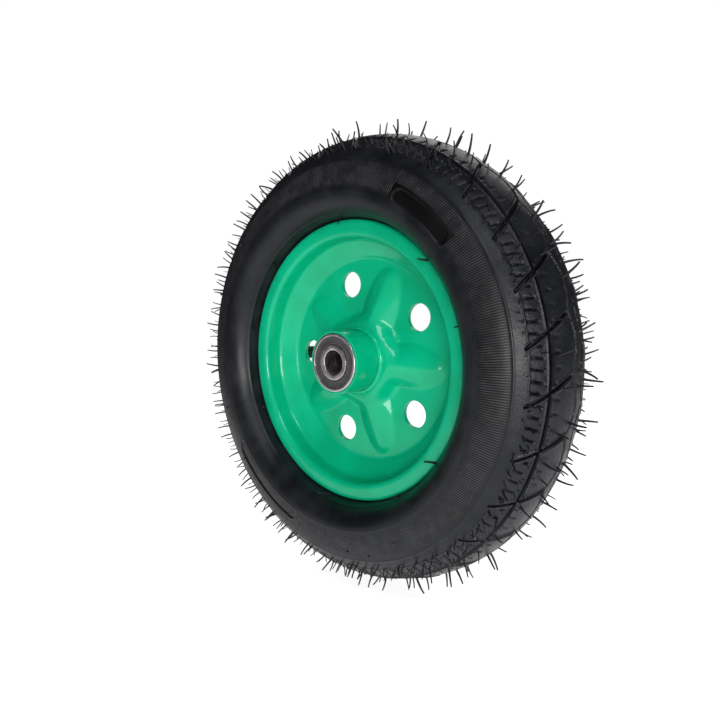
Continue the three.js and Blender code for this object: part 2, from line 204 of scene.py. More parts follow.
# ---------- Hub and bearings ----------
HUB_RADIUS = 25.5 * MM
HUB_BORE_RADIUS = 23.7 * MM
HUB_LAND_RADIUS = 21.5 * MM
HUB_END = 41.2 * MM
SHOULDER_OUT = 27.7 * MM
WELD_FOOT_OUT = 13.6 * MM
WELD_GAP = 0.25 * MM
WELD_LEG = 3.2 * MM
WELD_RIPPLES = 34
WELD_RIPPLE = 0.06
WELD_SWELL = 0.03
WELD_COLUMNS = 360
HUB_COLUMNS = 160
RING_COLUMNS = 144
SPACER_COLUMNS = 96
BEARING_MIDDLE = 35 * MM
BEARING_HALF_WIDTH = 7 * MM
BEARING_RADIUS = 23.5 * MM
BORE_RADIUS = 10 * MM
INNER_LAND_RADIUS = 14.18 * MM
OUTER_LAND_RADIUS = 19.32 * MM
SEAL_GROOVE_RADIUS = 21.1 * MM
SEAL_OUTER_FACE = 6.6 * MM
SEAL_INNER_FACE = 5.4 * MM
BALL_PITCH_RADIUS = 16.75 * MM
TRACK_RADIUS = 4.27 * MM
TRACK_HALF_ANGLE = 46
TRACK_STEPS = 9
SPACER_BORE_RADIUS = 10.4 * MM
SPACER_RADIUS = 13.5 * MM

# ---------- Valve: distances along its own axis are from the middle of the rim sheet ----------
VALVE_TURN = 274
STEM_BASE = -2.7 * MM
STEM_FOOT_RADIUS = 8.5 * MM
STEM_RADIUS = 5.75 * MM
STEM_BORE_RADIUS = 2.7 * MM
STEM_TOP = 33 * MM
THREAD_START = 23 * MM
THREAD_RADIUS = 3.85 * MM
CORE_TOP = 32 * MM
CORE_RADIUS = 2.5 * MM
CORE_BORE_RADIUS = 1.3 * MM
PIN_RADIUS = 0.8 * MM
CAP_TOP = 34.5 * MM
CAP_MOUTH = 23.3 * MM
CAP_RADIUS = 5.5 * MM
VALVE_HOLE_RADIUS = 6.05 * MM
VALVE_COLUMNS = 96
THREAD_PITCH = 0.8 * MM
THREAD_DEPTH = 0.32 * MM
KNURL_COUNT = 20
KNURL_DEPTH = 0.3 * MM
VALVE_FACING = Matrix.Rotation(math.radians(VALVE_TURN), 3, "Y")
VALVE_AXIS = VALVE_FACING @ Vector((0, 10.2, -6)).normalized()
VALVE_ROOT = VALVE_FACING @ Vector((0, 6.6, 92.2)) * MM

# ---------- Studio ----------
ROOM_FRONT = 0.36
ROOM_BACK = 0.08
ROOM_ABOVE = 0.3
FLOOR_GLOW_NEAR = 0.84
FLOOR_GLOW_FAR = 0.1
FLOOR_SHOWN_FAR = 0.98
FLOOR_REACH = 30
AIR_SHOWN = 1.02

# ---------- Camera ----------
CAMERA_PLACE = Vector((0.337, -0.3798, 0.0246))
CAMERA_AIM = Vector((0.00067, -0.01065, 0.00006))
CAMERA_LEAN = -2.56
CAMERA_LENS = 30
CAMERA_SENSOR = 36


# ====================================================================== nodes


class Term:
    """A node's output that can stand in a sum."""

    def __init__(self, nodes, socket):
        self.nodes = nodes
        self.socket = socket

    def other(self, name):
        return Term(self.nodes, self.socket.node.outputs[name])

    def __add__(self, other):
        return self.nodes.math("ADD", self, other)

    def __sub__(self, other):
        return self.nodes.math("SUBTRACT", self, other)

    def __mul__(self, other):
        return self.nodes.math("MULTIPLY", self, other)

    def __truediv__(self, other):
        return self.nodes.math("DIVIDE", self, other)

    def __pow__(self, other):
        return self.nodes.math("POWER", self, other)

    def __rsub__(self, other):
        return self.nodes.math("SUBTRACT", other, self)

    def __rtruediv__(self, other):
        return self.nodes.math("DIVIDE", other, self)

    __radd__ = __add__
    __rmul__ = __mul__


class Nodes:
    """Makes the nodes of one tree."""

    def __init__(self, tree):
        self.tree = tree

    def node(self, kind, settings, sockets, out=0):
        made = self.tree.nodes.new(kind)
        for name, value in settings.items():
            setattr(made, name, value)
        for name, value in sockets.items():
            if isinstance(value, Term):
                self.tree.links.new(value.socket, made.inputs[name])
            else:
                made.inputs[name].default_value = value
        return Term(self, made.outputs[out]) if len(made.outputs) else made

    def math(self, operation, *values):
        return self.node("ShaderNodeMath", {"operation": operation}, dict(enumerate(values)))

    def vector(self, x, y, z):
        return self.node("ShaderNodeCombineXYZ", {}, {"X": x, "Y": y, "Z": z})

    def mixed(self, first, second, share):
        settings = {"data_type": "RGBA", "clamp_factor": True}
        return self.node("ShaderNodeMix", settings, {0: share, 6: first, 7: second}, out=2)

    def two_tones(self, dark, light, mask, low=0.3, high=0.7):
        """One colour passing softly into another as the mask goes from low to high."""
        return self.mixed(dark, light, self.between(mask, low, high))

    def between(self, value, low, high, to_low=0.0, to_high=1.0):
        sockets = {"Value": value, "From Min": low, "From Max": high, "To Min": to_low, "To Max": to_high}
        return self.node("ShaderNodeMapRange", {"interpolation_type": "SMOOTHSTEP"}, sockets)

    def places(self):
        return self.node("ShaderNodeTexCoord", {}, {}, out="Object")

    def noise(self, scale, detail, roughness=0.5):
        sockets = {"Vector": self.places(), "Scale": scale, "Detail": detail, "Roughness": roughness}
        return self.node("ShaderNodeTexNoise", {"noise_dimensions": "3D"}, sockets)

    def axle_distance(self):
        split = self.node("ShaderNodeSeparateXYZ", {}, {"Vector": self.places()})
        return self.math("SQRT", split * split + split.other("Z") * split.other("Z"))

    def bumped(self, height, strength, distance):
        sockets = {"Height": height, "Strength": strength, "Distance": distance}
        return self.node("ShaderNodeBump", {}, sockets)


def finish(name, make):
    """A material whose surface the make function returns as the sockets of one Principled shader."""
    material = bpy.data.materials.new(name)
    material.use_nodes = True
    nodes = Nodes(material.node_tree)
    material.node_tree.nodes.clear()
    surface = nodes.node("ShaderNodeBsdfPrincipled", {}, make(nodes))
    nodes.node("ShaderNodeOutputMaterial", {}, {"Surface": surface})
    return material


# ====================================================================== finishes


def tyre_rubber(nodes):
    dust = nodes.noise(55, 4.0, 0.6)
    grain = nodes.noise(1400, 2.0, 0.5)
    pebbles = nodes.noise(480, 3.0, 0.6) * nodes.between(nodes.axle_distance(), 154 * MM, 163 * MM)
    # The depth attribute is painted shade: near black is mixed in along the tread grooves, between the
    # sidewall ribs and in the sunk label panels. The clean and dusty tones are real dust.
    depth = nodes.node("ShaderNodeAttribute", {"attribute_name": "depth"}, {}, out="Fac")
    clean = (0.0052, 0.0058, 0.0076, 1)
    dusty = (0.012, 0.0128, 0.0155, 1)
    skin = nodes.two_tones(clean, dusty, dust, 0.35, 0.75)
    colour = nodes.two_tones(skin, (0.0015, 0.0015, 0.0018, 1), depth, 0.0, 0.8)
    return {
        "Base Color": colour,
        "Roughness": nodes.between(dust + grain * 0.2, 0.35, 0.9, 0.3, 0.48),
        "Specular IOR Level": 0.3,
        "Normal": nodes.bumped(grain * 0.3 + pebbles * 2, 0.5, 0.35 * MM),
    }


def rib_rubber(nodes):
    wear = nodes.noise(120, 3.0, 0.6)
    return {
        "Base Color": nodes.two_tones((0.016, 0.0165, 0.0185, 1), (0.036, 0.0365, 0.04, 1), wear),
        "Roughness": nodes.between(wear, 0.3, 0.7, 0.34, 0.46),
        "Specular IOR Level": 0.5,
    }


def whisker_rubber(nodes):
    grain = nodes.noise(900, 2.0)
    return {
        "Base Color": nodes.mixed((0.006, 0.006, 0.007, 1), (0.016, 0.016, 0.018, 1), grain),
        "Roughness": nodes.between(grain, 0.3, 0.7, 0.45, 0.6),
        "Specular IOR Level": 0.4,
        "Normal": nodes.bumped(grain, 0.2, 0.1 * MM),
    }


def tube_rubber(nodes):
    chalk = nodes.noise(90, 5.0, 0.65)
    grain = nodes.noise(700, 2.0)
    return {
        "Base Color": nodes.two_tones((0.008, 0.008, 0.008, 1), (0.06, 0.06, 0.058, 1), chalk, 0.5, 0.8),
        "Roughness": nodes.between(chalk, 0.3, 0.7, 0.4, 0.6),
        "Normal": nodes.bumped(grain, 0.3, 0.1 * MM),
    }


def green_paint(nodes):
    flow = nodes.noise(28, 2.0)
    peel = nodes.noise(420, 2.0, 0.4)
    speck = nodes.noise(1900, 1.0)
    body = nodes.two_tones((0.0, 0.40, 0.19, 1), (0.0, 0.47, 0.235, 1), flow)
    specks = nodes.between(speck, 0.74, 0.80)
    return {
        "Base Color": nodes.mixed(body, (0.06, 0.50, 0.30, 1), specks * 0.5),
        "Roughness": nodes.between(peel, 0.3, 0.7, 0.30, 0.38),
        "Specular IOR Level": 0.12,
        "Coat Weight": nodes.between(flow, 0.2, 0.8, 0.4, 0.5),
        "Coat Roughness": 0.05,
        "Normal": nodes.bumped(peel + specks * 0.5, 0.06, 0.15 * MM),
    }


def turned_steel(nodes, dark, light, low, high):
    """Ground steel with fine rings left by the tool and faint smears of oil."""
    rings = nodes.math("SINE", nodes.axle_distance() * 26000)
    smear = nodes.noise(160, 4.0, 0.6)
    scratch = nodes.noise(900, 3.0)
    return {
        "Base Color": nodes.two_tones(dark, light, smear),
        "Metallic": 1.0,
        "Roughness": nodes.between(smear + rings * 0.03, 0.3, 0.75, low, high),
        "Normal": nodes.bumped(rings * 0.5 + scratch, 0.08, 0.05 * MM),
    }


def bearing_steel(nodes):
    return turned_steel(nodes, (0.60, 0.545, 0.54, 1), (0.74, 0.69, 0.68, 1), 0.24, 0.4)


# Zinc-plated steel, kept very dark so the spacer seen down the axle bore reads near black: painted shade
# inside the bore.
def zinc_steel(nodes):
    return turned_steel(nodes, (0.16, 0.16, 0.16, 1), (0.24, 0.24, 0.23, 1), 0.35, 0.5)


def cage_steel(nodes):
    return turned_steel(nodes, (0.38, 0.35, 0.30, 1), (0.50, 0.46, 0.40, 1), 0.35, 0.5)


def seal_rubber(nodes):
    smear = nodes.noise(230, 4.0, 0.6)
    grain = nodes.noise(1600, 2.0)
    return {
        "Base Color": nodes.two_tones((0.035, 0.033, 0.036, 1), (0.065, 0.061, 0.066, 1), smear),
        "Roughness": nodes.between(smear, 0.3, 0.7, 0.45, 0.62),
        "Normal": nodes.bumped(grain, 0.25, 0.08 * MM),
    }


def valve_brass(nodes):
    tarnish = nodes.noise(500, 4.0, 0.6)
    return {
        "Base Color": nodes.two_tones((0.42, 0.27, 0.09, 1), (0.62, 0.44, 0.18, 1), tarnish),
        "Metallic": 1.0,
        "Roughness": nodes.between(tarnish, 0.3, 0.7, 0.25, 0.45),
        "Normal": nodes.bumped(tarnish, 0.1, 0.05 * MM),
    }


def cap_plastic(nodes):
    grain = nodes.noise(1300, 2.0)
    scuff = nodes.noise(260, 4.0, 0.7)
    dark = (0.008, 0.008, 0.009, 1)
    worn = (0.035, 0.035, 0.037, 1)
    return {
        "Base Color": nodes.two_tones(dark, worn, scuff, 0.5, 0.8),
        "Roughness": nodes.between(scuff, 0.3, 0.7, 0.35, 0.55),
        "Normal": nodes.bumped(grain, 0.2, 0.08 * MM),
    }


def studio_floor(nodes):
    """Pale all over; the light it throws back at the wheel fades with distance."""
    cloud = nodes.noise(3, 2.0)
    split = nodes.node("ShaderNodeSeparateXYZ", {}, {"Vector": nodes.places()})
    reach = nodes.math("SQRT", split * split + split.other("Y") * split.other("Y"))
    seen = nodes.node("ShaderNodeLightPath", {}, {}, out="Is Camera Ray")
    thrown = nodes.between(reach, 0.3, 1.3, FLOOR_GLOW_NEAR, FLOOR_GLOW_FAR)
    shown = nodes.between(reach, 0.2, 1.6, FLOOR_GLOW_NEAR, FLOOR_SHOWN_FAR)
    return {
        "Base Color": nodes.mixed((0.90, 0.90, 0.90, 1), (0.93, 0.93, 0.93, 1), cloud),
        "Roughness": 0.85,
        "Emission Color": thrown + seen * (shown - thrown),
        "Emission Strength": 1.0,
    }


FINISHES = {
    make.__name__: finish(make.__name__, make)
    for make in (
        tyre_rubber, rib_rubber, whisker_rubber, tube_rubber, green_paint, bearing_steel, zinc_steel,
        cage_steel, seal_rubber, valve_brass, cap_plastic, studio_floor,
    )
}


# ====================================================================== mesh making


def smooth(value, low, high):
    """0 below low, 1 above high and a soft step between."""
    share = np.clip((value - low) / (high - low), 0, 1)
    return share * share * (3 - 2 * share)


def hump(value, middle, spread):
    """A soft ridge that is 1 at the middle."""
    return np.exp(-(((value - middle) / spread) ** 2))


def on_wheel(radius, along, turn):
    """Points at a distance from the axle, a place along it and a turn in radians."""
    radius, along, turn = np.broadcast_arrays(radius, along, turn)
    return np.stack([radius * np.sin(turn), along, radius * np.cos(turn)], axis=-1)


def rounded(corners, steps=4, closed=True):
    """A line through (radius, along, fillet) corners with each corner rounded."""
    points = []
    for i, (radius, along, fillet) in enumerate(corners):
        here = np.array([radius, along])
        if not closed and i in (0, len(corners) - 1):
            points.append(here)
            continue
        ends = []
        for neighbour in (corners[i - 1], corners[(i + 1) % len(corners)]):
            way = np.array(neighbour[:2]) - here
            length = np.linalg.norm(way)
            ends.append(here + way / length * min(fillet, 0.48 * length))
        for share in np.linspace(0, 1, steps + 1):
            points.append(
                (1 - share) ** 2 * ends[0] + 2 * share * (1 - share) * here + share**2 * ends[1]
            )
    return np.array(points)


def finely(line, spacing):
    """The same line with no step longer than the spacing."""
    points = [line[0]]
    for start, end in zip(line[:-1], line[1:]):
        count = max(1, math.ceil(np.linalg.norm(end - start) / spacing))
        points.extend(start + (end - start) * (i + 1) / count for i in range(count))
    return np.array(points)


def ring_mesh(name, points):
    """A mesh from a grid of points that closes on itself both ways, with its faces outwards."""
    rows, columns = points.shape[:2]
    row = np.arange(rows)[:, None]
    column = np.arange(columns)[None, :]
    next_row = (row + 1) % rows
    next_column = (column + 1) % columns
    corners = (
        row * columns + column,
        row * columns + next_column,
        next_row * columns + next_column,
        next_row * columns + column,
    )
    faces = np.stack(corners, axis=-1).reshape(-1, 4)
    flat = points.reshape(-1, 3)
    first, second, third, fourth = (flat[faces[:, i]] for i in range(4))
    volume = (first * (np.cross(second, third) + np.cross(third, fourth))).sum()
    if volume < 0:
        faces = faces[:, ::-1]
    mesh = bpy.data.meshes.new(name)
    mesh.from_pydata(flat.tolist(), [], faces.tolist())
    return mesh


def piece(name, mesh, material, body, replaced=(), sharp=38):
    """Puts a finished mesh in the scene and ties it to the frame."""
    mesh.materials.clear()
    mesh.materials.append(material)
    mesh.shade_smooth()
    mesh.set_sharp_from_angle(angle=math.radians(sharp))
    made = bpy.data.objects.new(name, mesh)
    bpy.context.scene.collection.objects.link(made)
    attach(made, body)
    if replaced:
        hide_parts(*replaced)


def turned_piece(name, outline, columns, material, body, replaced):
    """A ring turned about the axle from a closed outline of (radius, along) points."""
    radius, along = np.array(outline).T
    turn = np.linspace(0, 2 * math.pi, columns, endpoint=False)
    mesh = ring_mesh(name, on_wheel(radius[:, None], along[:, None], turn[None, :]))
    piece(name, mesh, material, body, replaced)


def evaluated_mesh(holder, name):
    """The holder's mesh as its modifiers leave it."""
    graph = bpy.context.evaluated_depsgraph_get()
    mesh = bpy.data.meshes.new_from_object(holder.evaluated_get(graph), depsgraph=graph)
    mesh.name = name
    return mesh


# ====================================================================== tyre


def lateral_lean(across):
    return LATERAL_LEAN * (across - CUSP_ANGLE)


def groove(distance, width, depth):
    return -depth * (1 - smooth(distance, width / 2 - GROOVE_EDGE / 2, width / 2 + GROOVE_EDGE / 2))


def lip(distance):
    return LIP_HEIGHT * hump(distance, LIP_OFFSET, LIP_WIDTH)


def off_nearest(value):
    return value - np.round(value)


def stroke(across, turns, middle, half_length, per_pitch):
    """A row of short slanted cuts: how deep each is, from 0 to 1."""
    radius = SECTION_CENTRE + SECTION_RADIUS * np.cos(np.radians(across))
    spacing = PITCH / per_pitch
    off = off_nearest((turns + SIPE_TILT * (across - middle)) / spacing - 0.5) * spacing
    sideways = np.abs(np.radians(off)) * radius / math.hypot(1, SIPE_SLANT)
    lengthways = np.abs(across - middle)
    inside = 1 - smooth(sideways, SIPE_WIDTH / 2 - SIPE_EDGE, SIPE_WIDTH / 2 + SIPE_EDGE)
    return inside * (1 - smooth(lengthways, half_length - 0.9, half_length + 0.3))


def tread_height(section, turns):
    """How far the tread stands above the tyre's round section. Both angles in degrees."""
    across = np.abs(section)
    turns = turns - FIRST_CUSP - np.where(section < 0, PITCH / 2, 0)
    radius = SECTION_CENTRE + SECTION_RADIUS * np.cos(np.radians(across))
    slant = LATERAL_LEAN * radius / SECTION_RADIUS
    off = np.radians(off_nearest((turns - lateral_lean(across)) / PITCH) * PITCH)
    beside = np.abs(off) * radius / np.sqrt(1 + slant**2)
    outside_cusp = smooth(across, CUSP_ANGLE - 1, CUSP_ANGLE + 0.5)
    along = (turns / PITCH) % 1
    bow = 2 * along - 1
    path = SCALLOP_ANGLE + (CUSP_ANGLE - SCALLOP_ANGLE) * bow**2
    steep = np.radians((CUSP_ANGLE - SCALLOP_ANGLE) * 4 * bow) * SECTION_RADIUS
    steep = steep / (np.radians(PITCH) * radius)
    from_scallop = np.abs(np.radians(across - path)) * SECTION_RADIUS / np.sqrt(1 + steep**2)
    from_ring = np.abs(np.radians(across - RING_GROOVE_ANGLE)) * SECTION_RADIUS
    edge = 1 - smooth(across, TREAD_FADE_START, TREAD_FADE_END)
    cuts = np.minimum(groove(beside, GROOVE_WIDTH, GROOVE_DEPTH) * outside_cusp, 0)
    cuts = np.minimum(cuts, groove(from_scallop, GROOVE_WIDTH * SCALLOP_GROOVE_SHARE, GROOVE_DEPTH))
    cuts = np.minimum(cuts, groove(from_ring, GROOVE_WIDTH * RING_GROOVE_SHARE, GROOVE_DEPTH))
    clear = smooth(beside, SIPE_CLEAR, SIPE_CLEAR + SIPE_CLEAR_FADE)
    shoulder_sipes = stroke(across, turns, SHOULDER_SIPE_ANGLE, SHOULDER_SIPE_REACH, SHOULDER_SIPES)
    crown_sipes = stroke(across, turns, CROWN_SIPE_ANGLE, CROWN_SIPE_REACH, CROWN_SIPES)
    sipes = np.maximum(shoulder_sipes, CROWN_SIPE_SHARE * crown_sipes)
    cuts = np.minimum(cuts, -SIPE_DEPTH * sipes * clear)
    lips = np.maximum(lip(beside) * outside_cusp, lip(from_ring))
    lips = np.maximum(lips, LIP_HEIGHT * hump(across, EDGE_LIP_ANGLE, EDGE_LIP_SPREAD))
    return (cuts + lips * (cuts > -LIP_ENDS_AT_DEPTH)) * edge


def skin_points(section, turn, height):
    """Points on the tyre's round section, raised by a height."""
    reach = SECTION_RADIUS + height
    return on_wheel(SECTION_CENTRE + reach * np.cos(section), reach * np.sin(section), turn)


def rubber_piece(name, mesh, painted_shade, replaced=()):
    """A piece of tyre. The painted shade is how far each point of the outer skin is darkened for shade in
    its grooves and hollows; the lining has none.
    """
    depth = np.zeros(len(mesh.vertices))
    depth[:painted_shade.size] = painted_shade.ravel()
    # The depth attribute carries this painted shade to the rubber's colour.
    mesh.attributes.new("depth", "FLOAT", "POINT").data.foreach_set("value", depth)
    piece(name, mesh, FINISHES["tyre_rubber"], "wheel", replaced, sharp=60)


def tread_band(name, low, high, rows, per_pitch, replaced=()):
    """A band of tread between two section angles, negative on the front side, as one closed ring."""
    section = np.linspace(low, high, rows)[:, None]
    steps = np.linspace(0, 360, per_pitch * PITCH_COUNT, endpoint=False)[None, :]
    wave = 4 * math.pi / PITCH
    crowded = steps + FIRST_CUSP - POINT_CROWDING / wave * np.sin(steps * wave)
    turns = crowded + lateral_lean(np.abs(section))
    height = tread_height(-section, turns)
    outside = skin_points(np.radians(section), np.radians(turns), height)
    inner = np.linspace(high, low, INSIDE_ROWS)[:, None]
    inner_turns = crowded + lateral_lean(np.abs(inner))
    inside = skin_points(np.radians(inner), np.radians(inner_turns), -TREAD_THICKNESS)
    mesh = ring_mesh(name, np.concatenate([outside, inside]))
    # The deeper a groove, the darker its rubber: painted shade in the grooves.
    rubber_piece(name, mesh, np.clip(-height / GROOVE_DEPTH, 0, 1), replaced)


def make_tread():
    crown = (-RING_GROOVE_ANGLE, RING_GROOVE_ANGLE, CROWN_ROWS, CROWN_COLUMNS)
    tread_band("tyre_crown_tread", *crown, ["tyre"])
    shoulder = (RING_GROOVE_ANGLE, TREAD_EDGE_ANGLE)
    for side, side_name in SIDES:
        low, high = sorted(side * angle for angle in shoulder)
        tread_band(f"tyre_{side_name}_shoulder_tread", low, high, SHOULDER_ROWS, SHOULDER_COLUMNS)


def wall_line(angles):
    """(radius, out) of the sidewall's skin at section angles from 0 to 180 degrees."""
    upper = np.radians(np.minimum(angles, 90))
    lower = np.radians(np.maximum(angles - 90, 0))
    radius = SECTION_CENTRE + SECTION_RADIUS * np.cos(upper)
    radius = radius - (SECTION_CENTRE - BEAD_TOP_RADIUS) * np.sin(lower)
    out = SECTION_RADIUS * np.sin(upper) - (SECTION_RADIUS - BEAD_OUT) * (1 - np.cos(lower))
    return radius, out


def panel_height(angles, turns):
    """The sunk label panels, left blank, with a thin raised frame."""
    height = np.zeros(np.broadcast(angles, turns).shape)
    radius, _ = wall_line(angles)
    for middle, half_turn in PANEL_TURNS:
        across = np.radians(angles - PANEL_ANGLE) * SECTION_RADIUS
        along = np.radians((turns - middle + 180) % 360 - 180) * radius
        straight = np.radians(half_turn) * PANEL_RADIUS - PANEL_HALF_HEIGHT
        past = np.maximum(np.abs(along) - straight, 0)
        edge = np.hypot(past, across) - PANEL_HALF_HEIGHT
        height -= PANEL_DEPTH * (1 - smooth(edge, -1 * MM, 0))
        height += PANEL_FRAME * hump(edge, PANEL_EDGE, PANEL_EDGE)
    return height


def sidewall_height(angles, turns):
    """How far the mould's rings and the label panels stand above the sidewall's arch."""
    rings = (
        (RIDGE_ANGLE, RIDGE_HEIGHT, math.degrees(RIDGE_SPREAD / SECTION_RADIUS)),
        (INNER_LINE_ANGLE, INNER_LINE_HEIGHT, INNER_LINE_SPREAD),
        (BEAD_LINE_ANGLE, BEAD_LINE_HEIGHT, BEAD_LINE_SPREAD),
    )
    height = panel_height(angles, turns)
    for angle, rise, spread in rings:
        height = height + rise * hump(angles, angle, spread)
    return height


def wall_painted_shade(angles, turns):
    """Painted shade on the skin: darkest between the ribs and in the sunk panels, where shade falls."""
    ribbed = smooth(angles, RIB_START_ANGLE, RIB_START_ANGLE + 1)
    ribbed = ribbed * (1 - smooth(angles, RIB_END_ANGLE - 1, RIB_END_ANGLE))
    sunk = np.clip(-panel_height(angles, turns) / PANEL_DEPTH, 0, 1)
    return np.maximum(BETWEEN_RIBS_PAINTED_SHADE * ribbed, PANEL_PAINTED_SHADE * sunk)


def wall_inside():
    """(radius, out) of the bead's foot and of the lining up to the tread's edge."""
    bead = rounded([
        (BEAD_FOOT_RADIUS, BEAD_OUT, 2 * MM),
        (BEAD_FOOT_RADIUS, BEAD_INSIDE_OUT, 2 * MM),
        (BEAD_FOOT_RADIUS + BEAD_HEIGHT, BEAD_INSIDE_OUT + 2 * MM, 3 * MM),
    ])
    angles = np.linspace(LINING_END_ANGLE, TREAD_EDGE_ANGLE, LINING_ROWS)
    skin = np.stack(wall_line(angles), axis=-1)
    near_tread = 1 - smooth(angles, TREAD_EDGE_ANGLE, LINING_THIN_ANGLE)
    thickness = SIDEWALL_THICKNESS + (TREAD_THICKNESS - SIDEWALL_THICKNESS) * near_tread
    near_bead = 1 - np.minimum(1, (180 - angles) / LINING_BEND)
    middle = np.stack([np.full(LINING_ROWS, SECTION_CENTRE), LINING_BEND_OUT * near_bead], axis=-1)
    outwards = skin - middle
    outwards = outwards / np.linalg.norm(outwards, axis=1)[:, None]
    return np.concatenate([bead, skin - outwards * thickness[:, None]])


def sidewall(name, side):
    """One sidewall with its bead, as one closed ring."""
    upper = np.linspace(TREAD_EDGE_ANGLE, UPPER_WALL_END, UPPER_WALL_ROWS)
    lower = np.linspace(LOWER_WALL_START, 180, LOWER_WALL_ROWS)
    angles = np.concatenate([upper, lower])[:, None]
    turns = np.linspace(0, 360, WALL_COLUMNS, endpoint=False)[None, :]
    radius, out = wall_line(angles)
    slope = np.stack([np.gradient(radius[:, 0]), np.gradient(out[:, 0])], axis=-1)
    normal = np.stack([slope[:, 1], -slope[:, 0]], axis=-1)
    normal = normal / np.linalg.norm(normal, axis=1)[:, None]
    height = sidewall_height(angles, turns)
    height = height * smooth(angles, TREAD_EDGE_ANGLE, TREAD_EDGE_ANGLE + 1.5)
    skin_radius = radius + normal[:, 0:1] * height
    skin_out = out + normal[:, 1:2] * height
    outside = on_wheel(skin_radius, side * skin_out, np.radians(turns))
    inside = wall_inside()
    inside = on_wheel(inside[:, 0:1], side * inside[:, 1:2], np.radians(turns))
    mesh = ring_mesh(name, np.concatenate([outside, inside]))
    # The skin between the ribs and in the sunk panels gets painted shade.
    rubber_piece(name, mesh, wall_painted_shade(angles, turns))


def make_sidewalls():
    for side, side_name in SIDES:
        sidewall(f"tyre_{side_name}_sidewall", side)


# ====================================================================== geometry trees


class Inputs:
    """The named inputs of a geometry tree."""

    def __init__(self, nodes, wanted):
        kinds = {int: "NodeSocketInt", float: "NodeSocketFloat", bpy.types.Material: "NodeSocketMaterial"}
        self.keys = {}
        for name, kind in wanted.items():
            item = nodes.tree.interface.new_socket(name, in_out="INPUT", socket_type=kinds[kind])
            self.keys[name] = item.identifier
        nodes.tree.interface.new_socket("Geometry", in_out="OUTPUT", socket_type="NodeSocketGeometry")
        self.source = nodes.node("NodeGroupInput", {}, {})

    def __getitem__(self, name):
        return self.source.other(name)


def geometry_tree(name, wanted, make):
    """A geometry tree with named inputs that ends in real mesh with its material."""
    nodes = Nodes(bpy.data.node_groups.new(name, "GeometryNodeTree"))
    inputs = Inputs(nodes, wanted)
    shape = make(nodes, inputs)
    real = nodes.node("GeometryNodeRealizeInstances", {}, {"Geometry": shape})
    sockets = {"Geometry": real, "Material": inputs["Material"]}
    painted = nodes.node("GeometryNodeSetMaterial", {}, sockets)
    nodes.node("NodeGroupOutput", {}, {"Geometry": painted})
    return nodes.tree, inputs.keys


def grown(name, tree, values, material, body):
    """One piece made by a geometry tree and turned into a plain mesh."""
    group, keys = tree
    holder = bpy.data.objects.new(name + "_holder", bpy.data.meshes.new(name + "_holder"))
    bpy.context.scene.collection.objects.link(holder)
    modifier = holder.modifiers.new(name, "NODES")
    modifier.node_group = group
    for key, value in values.items():
        modifier[keys[key]] = value
    modifier[keys["Material"]] = material
    mesh = evaluated_mesh(holder, name)
    holder.modifiers.remove(modifier)
    bpy.data.objects.remove(holder)
    piece(name, mesh, material, body)


def random_value(nodes, low, high, seed):
    """A random number for each point."""
    sockets = {2: low, 3: high, "Seed": seed}
    return nodes.node("FunctionNodeRandomValue", {"data_type": "FLOAT"}, sockets, out=1)


def whisker_shape(nodes, inputs):
    """Thin rubber whiskers left by the mould's vents, standing on one ring round the tyre."""
    seed = inputs["Seed"]
    points = nodes.node("GeometryNodePoints", {}, {"Count": inputs["Count"]})
    index = nodes.node("GeometryNodeInputIndex", {}, {})
    jitter = random_value(nodes, -0.35, 0.35, seed)
    turn = (index + jitter) / inputs["Count"] * (2 * math.pi)
    across = inputs["Section angle"] + inputs["Spread"] * random_value(nodes, -1.0, 1.0, seed + 1)
    cosine = nodes.math("COSINE", across)
    sine = nodes.math("SINE", across)
    turn_sine = nodes.math("SINE", turn)
    turn_cosine = nodes.math("COSINE", turn)
    radius = cosine * inputs["Section radius"] + inputs["Section centre"]
    place = nodes.vector(radius * turn_sine, sine * inputs["Section radius"], radius * turn_cosine)
    lean = inputs["Lean"]
    wander = [random_value(nodes, -1.0, 1.0, seed + 2 + i) * lean for i in range(3)]
    upright = nodes.vector(
        cosine * turn_sine + wander[0],
        sine + wander[1],
        cosine * turn_cosine + wander[2])
    placed = nodes.node("GeometryNodeSetPosition", {}, {"Geometry": points, "Position": place})
    sockets = {"Resolution": 4, "Start": HAIR_ROOT, "Middle": HAIR_BEND, "End": HAIR_TIP}
    spine = nodes.node("GeometryNodeCurveQuadraticBezier", {}, sockets)
    along = nodes.node("GeometryNodeSplineParameter", {}, {})
    section = nodes.node("GeometryNodeCurvePrimitiveCircle", {}, {"Resolution": 5, "Radius": 1.0})
    sockets = {"Curve": spine, "Profile Curve": section, "Fill Caps": True}
    sockets["Scale"] = inputs["Thickness"] * (HAIR_ROOT_SHARE - along * HAIR_TAPER)
    hair = nodes.node("GeometryNodeCurveToMesh", {}, sockets)
    turned = nodes.node(
        "FunctionNodeAlignRotationToVector", {"axis": "Z", "pivot_axis": "AUTO"}, {"Vector": upright})
    spin = nodes.node(
        "FunctionNodeAxisAngleToRotation", {},
        {"Axis": (0, 0, 1), "Angle": random_value(nodes, 0.0, 2 * math.pi, seed + 5)})
    turned = nodes.node(
        "FunctionNodeRotateRotation", {"rotation_space": "LOCAL"},
        {"Rotation": turned, "Rotate By": spin})
    length = random_value(nodes, inputs["Shortest"], inputs["Longest"], seed + 6)
    sockets = {"Points": placed, "Instance": hair, "Rotation": turned}
    sockets["Scale"] = nodes.vector(length, length, length)
    return nodes.node("GeometryNodeInstanceOnPoints", {}, sockets)


WHISKERS = geometry_tree("whiskers", {
    "Count": int,
    "Section radius": float,
    "Section centre": float,
    "Section angle": float,
    "Spread": float,
    "Lean": float,
    "Shortest": float,
    "Longest": float,
    "Thickness": float,
    "Seed": int,
    "Material": bpy.types.Material,
}, whisker_shape)


